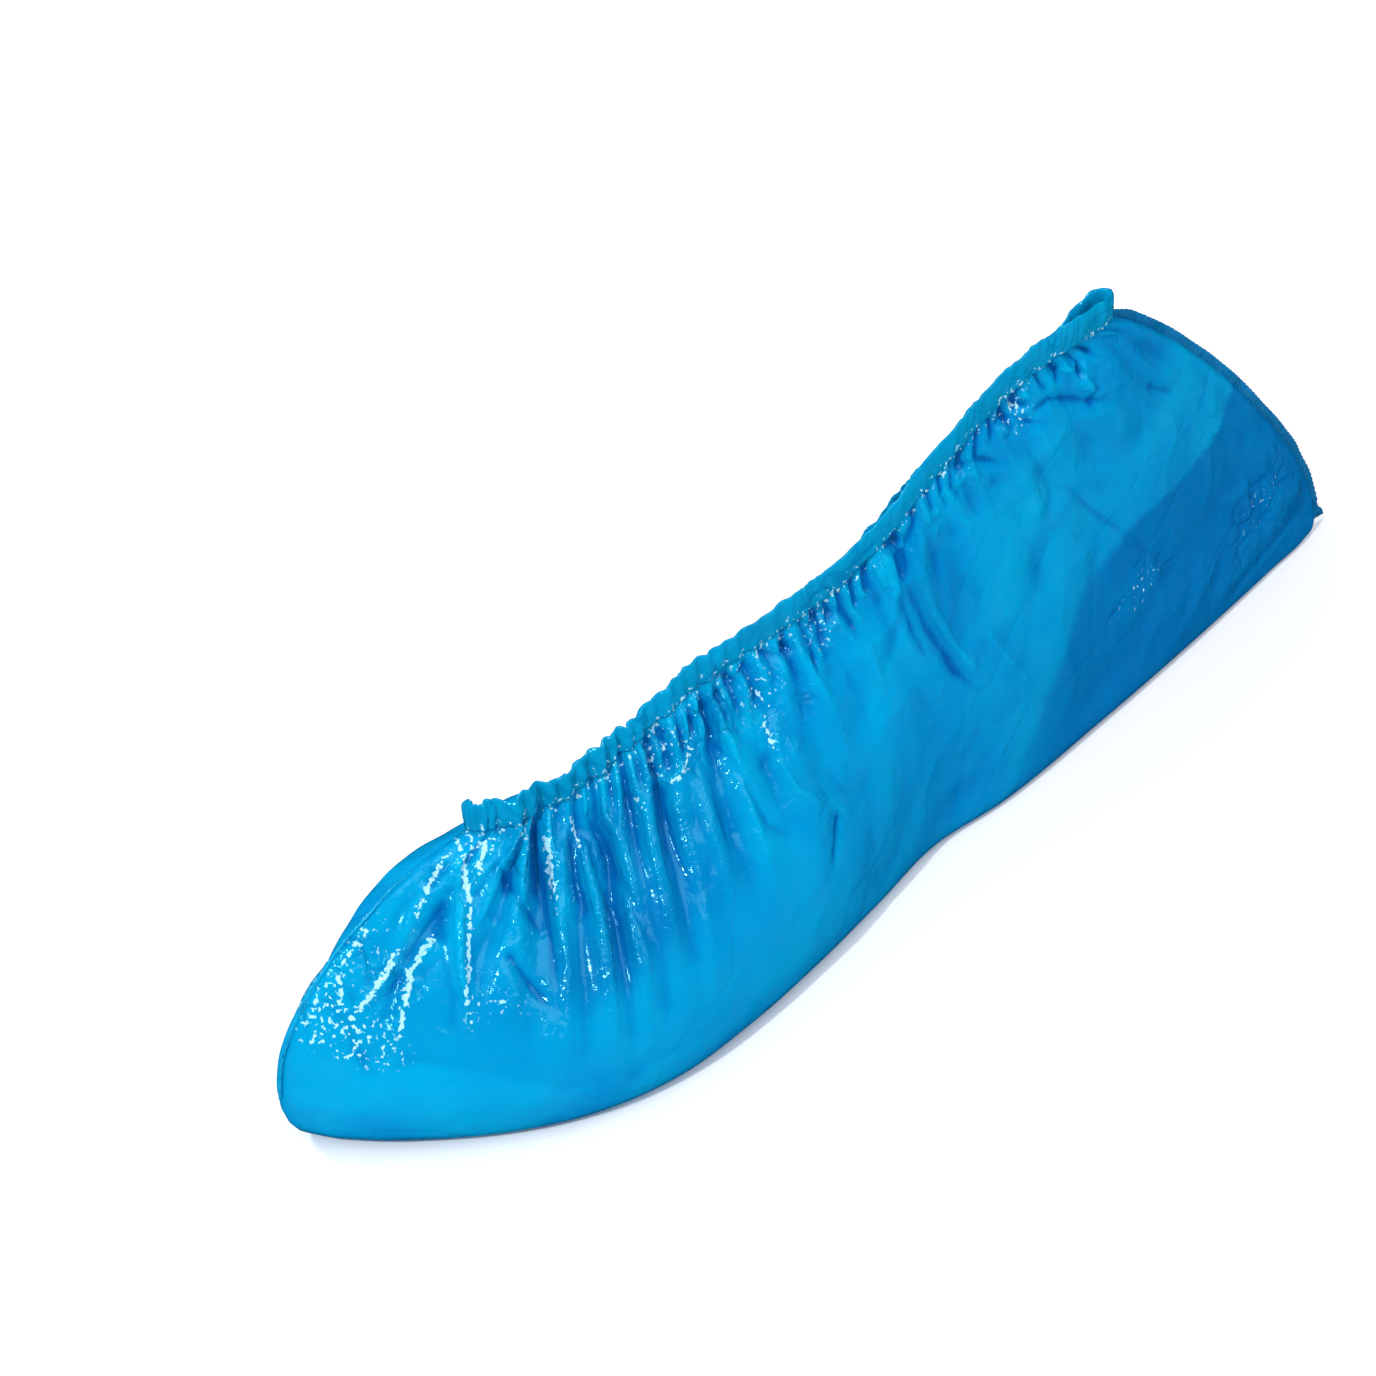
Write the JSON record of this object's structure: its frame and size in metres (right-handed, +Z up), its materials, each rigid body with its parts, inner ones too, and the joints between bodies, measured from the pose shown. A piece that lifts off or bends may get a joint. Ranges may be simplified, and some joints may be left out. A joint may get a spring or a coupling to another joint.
{
  "type": "shoe cover",
  "caption": "Disposable film shoe cover with a flat sole, rounded toe, flat welded heel and a gathered elastic mouth.",
  "frame": {"origin": "under the middle of the shoe cover's box, on the ground that its sole rests on", "axes": "+Z up, -Y towards the toe, +Y towards the heel, +X towards the wearer's right"},
  "size_m": [0.0902, 0.34, 0.1137],
  "materials": {
    "film": "thin glossy translucent blue polyethylene film, creased and crumpled",
    "hem_film": "doubled blue film folded over and weld-crimped, slightly greener and glossier",
    "weld_film": "two layers of blue film welded flat, darker with a crimped edge",
    "elastic": "pale flat rubber elastic"
  },
  "bodies": {
    "root": {"film_body": "film", "mouth_hem": "hem_film", "elastic_band": "elastic", "heel_seam": "weld_film", "toe_seam": "weld_film"}
  },
  "joints": []
}
